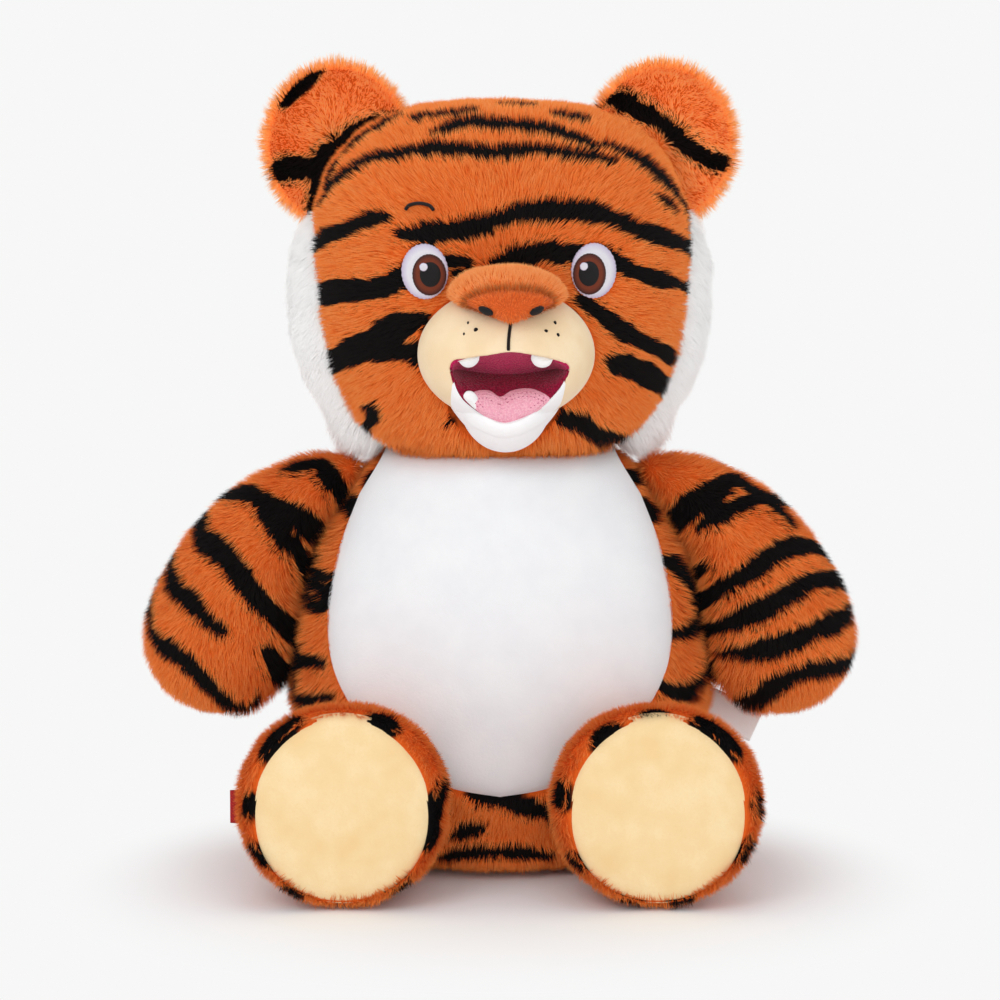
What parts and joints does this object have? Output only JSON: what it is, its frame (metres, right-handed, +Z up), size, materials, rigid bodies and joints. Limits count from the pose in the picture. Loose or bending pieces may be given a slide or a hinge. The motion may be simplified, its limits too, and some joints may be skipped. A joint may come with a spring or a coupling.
{
  "type": "plush tiger",
  "caption": "Sitting plush tiger with striped fur, pale belly and soles, open mouth and round ears; head, ears, arms, legs and tail flex at sprung seams, and the back zips.",
  "frame": {"origin": "on the floor, at the middle of the torso's flat underside", "axes": "+Z up; the toy faces -Y; its own left side is at +X"},
  "size_m": [0.3634, 0.3233, 0.3995],
  "materials": {
    "orange_plush": "orange pile about 9 mm long with printed black stripes",
    "white_plush": "long white pile",
    "belly_velour": "white velour, pile under 1 mm",
    "cream_velour": "cream velour, pile about 1.5 mm",
    "white_velour": "white short pile",
    "orange_velour": "orange short pile",
    "nose_velour": "dark orange velour",
    "black_thread": "black satin stitch",
    "white_thread": "white satin stitch",
    "brown_thread": "brown satin stitch",
    "mouth_lining": "dark red looped terry",
    "palate": "maroon looped terry",
    "tongue": "pink looped terry",
    "tooth_felt": "white felt",
    "filling": "polyester fibre filling",
    "zip_tape": "woven tape with nylon coil",
    "zip_slider": "enamelled slider and pull",
    "label": "plain white woven label",
    "red_ribbon": "plain red woven ribbon"
  },
  "bodies": {
    "torso": {"front_skin": "orange_plush", "belly_panel": "belly_velour", "back_skin_left": "orange_plush", "back_skin_right": "orange_plush", "body_stuffing": "filling", "zip_tape_left": "zip_tape", "zip_tape_right": "zip_tape", "care_label": "label"},
    "head": {"face_panel": "orange_plush", "head_back": "orange_plush", "cheek_ruff_left": "white_plush", "cheek_ruff_right": "white_plush", "head_stuffing": "filling", "muzzle": "cream_velour", "nose_bridge": "orange_velour", "nose": "nose_velour", "nostril_left": "black_thread", "nostril_right": "black_thread", "lip_stitch": "black_thread", "mouth_lining": "mouth_lining", "palate": "palate", "tongue": "tongue", "jaw": "white_velour", "tooth_upper_left": "tooth_felt", "tooth_upper_right": "tooth_felt", "tooth_lower": "tooth_felt", "eye_white_left": "white_thread", "eye_iris_left": "brown_thread", "eye_pupil_left": "black_thread", "eye_highlight_left": "white_thread", "eye_white_right": "white_thread", "eye_iris_right": "brown_thread", "eye_pupil_right": "black_thread", "eye_highlight_right": "white_thread", "brow_stitch": "black_thread"},
    "ear_left": {"ear_front_left": "orange_plush", "ear_back_left": "orange_plush"},
    "ear_right": {"ear_front_right": "orange_plush", "ear_back_right": "orange_plush"},
    "arm_left": {"arm_skin_left": "orange_plush", "arm_stuffing_left": "filling"},
    "arm_right": {"arm_skin_right": "orange_plush", "arm_stuffing_right": "filling"},
    "leg_left": {"leg_skin_left": "orange_plush", "sole_left": "cream_velour", "leg_stuffing_left": "filling"},
    "leg_right": {"leg_skin_right": "orange_plush", "sole_right": "cream_velour", "leg_stuffing_right": "filling", "foot_tag": "red_ribbon"},
    "tail": {"tail_skin": "orange_plush", "tail_stuffing": "filling"},
    "zip_slider": {"zip_slider": "zip_slider"},
    "zip_pull": {"zip_pull": "zip_slider"}
  },
  "joints": [
    {"name": "head_turn", "type": "hinge", "parent": "torso", "child": "head", "pos_m": [0, 0, 0.206], "axis": [0, 0, 1], "range_deg": [-15, 15], "stiffness_Nm_per_rad": 0.3},
    {"name": "ear_left_bend", "type": "hinge", "parent": "head", "child": "ear_left", "pos_m": [0.07555, 0.00963, 0.357], "axis": [0.7058, 0.0432, -0.7071], "range_deg": [-12, 12], "stiffness_Nm_per_rad": 0.01},
    {"name": "ear_right_bend", "type": "hinge", "parent": "head", "child": "ear_right", "pos_m": [-0.07616, 0.00035, 0.357], "axis": [0.7058, 0.0432, 0.7071], "range_deg": [-12, 12], "stiffness_Nm_per_rad": 0.01},
    {"name": "arm_left_swing", "type": "hinge", "parent": "torso", "child": "arm_left", "pos_m": [0.084, -0.002, 0.19], "axis": [-1, 0, 0], "range_deg": [-15, 50], "stiffness_Nm_per_rad": 0.12},
    {"name": "arm_right_swing", "type": "hinge", "parent": "torso", "child": "arm_right", "pos_m": [-0.084, -0.002, 0.19], "axis": [-1, 0, 0], "range_deg": [-15, 50], "stiffness_Nm_per_rad": 0.12},
    {"name": "leg_left_lift", "type": "hinge", "parent": "torso", "child": "leg_left", "pos_m": [0.067, -0.052, 0.042], "axis": [-1, 0, 0], "range_deg": [-4, 18], "stiffness_Nm_per_rad": 0.3},
    {"name": "leg_right_lift", "type": "hinge", "parent": "torso", "child": "leg_right", "pos_m": [-0.067, -0.052, 0.042], "axis": [-1, 0, 0], "range_deg": [-4, 18], "stiffness_Nm_per_rad": 0.3},
    {"name": "tail_swing", "type": "hinge", "parent": "torso", "child": "tail", "pos_m": [0, 0.077, 0.038], "axis": [0, 0, 1], "range_deg": [-28, 28], "stiffness_Nm_per_rad": 0.02},
    {"name": "zip_slide", "type": "slide", "parent": "torso", "child": "zip_slider", "axis": [0, 0.0529, -0.9986], "range_m": [0, 0.074]},
    {"name": "zip_pull_swing", "type": "hinge", "parent": "zip_slider", "child": "zip_pull", "pos_m": [0, 0.0747, 0.14654], "axis": [1, 0, 0], "range_deg": [0, 120]}
  ]
}
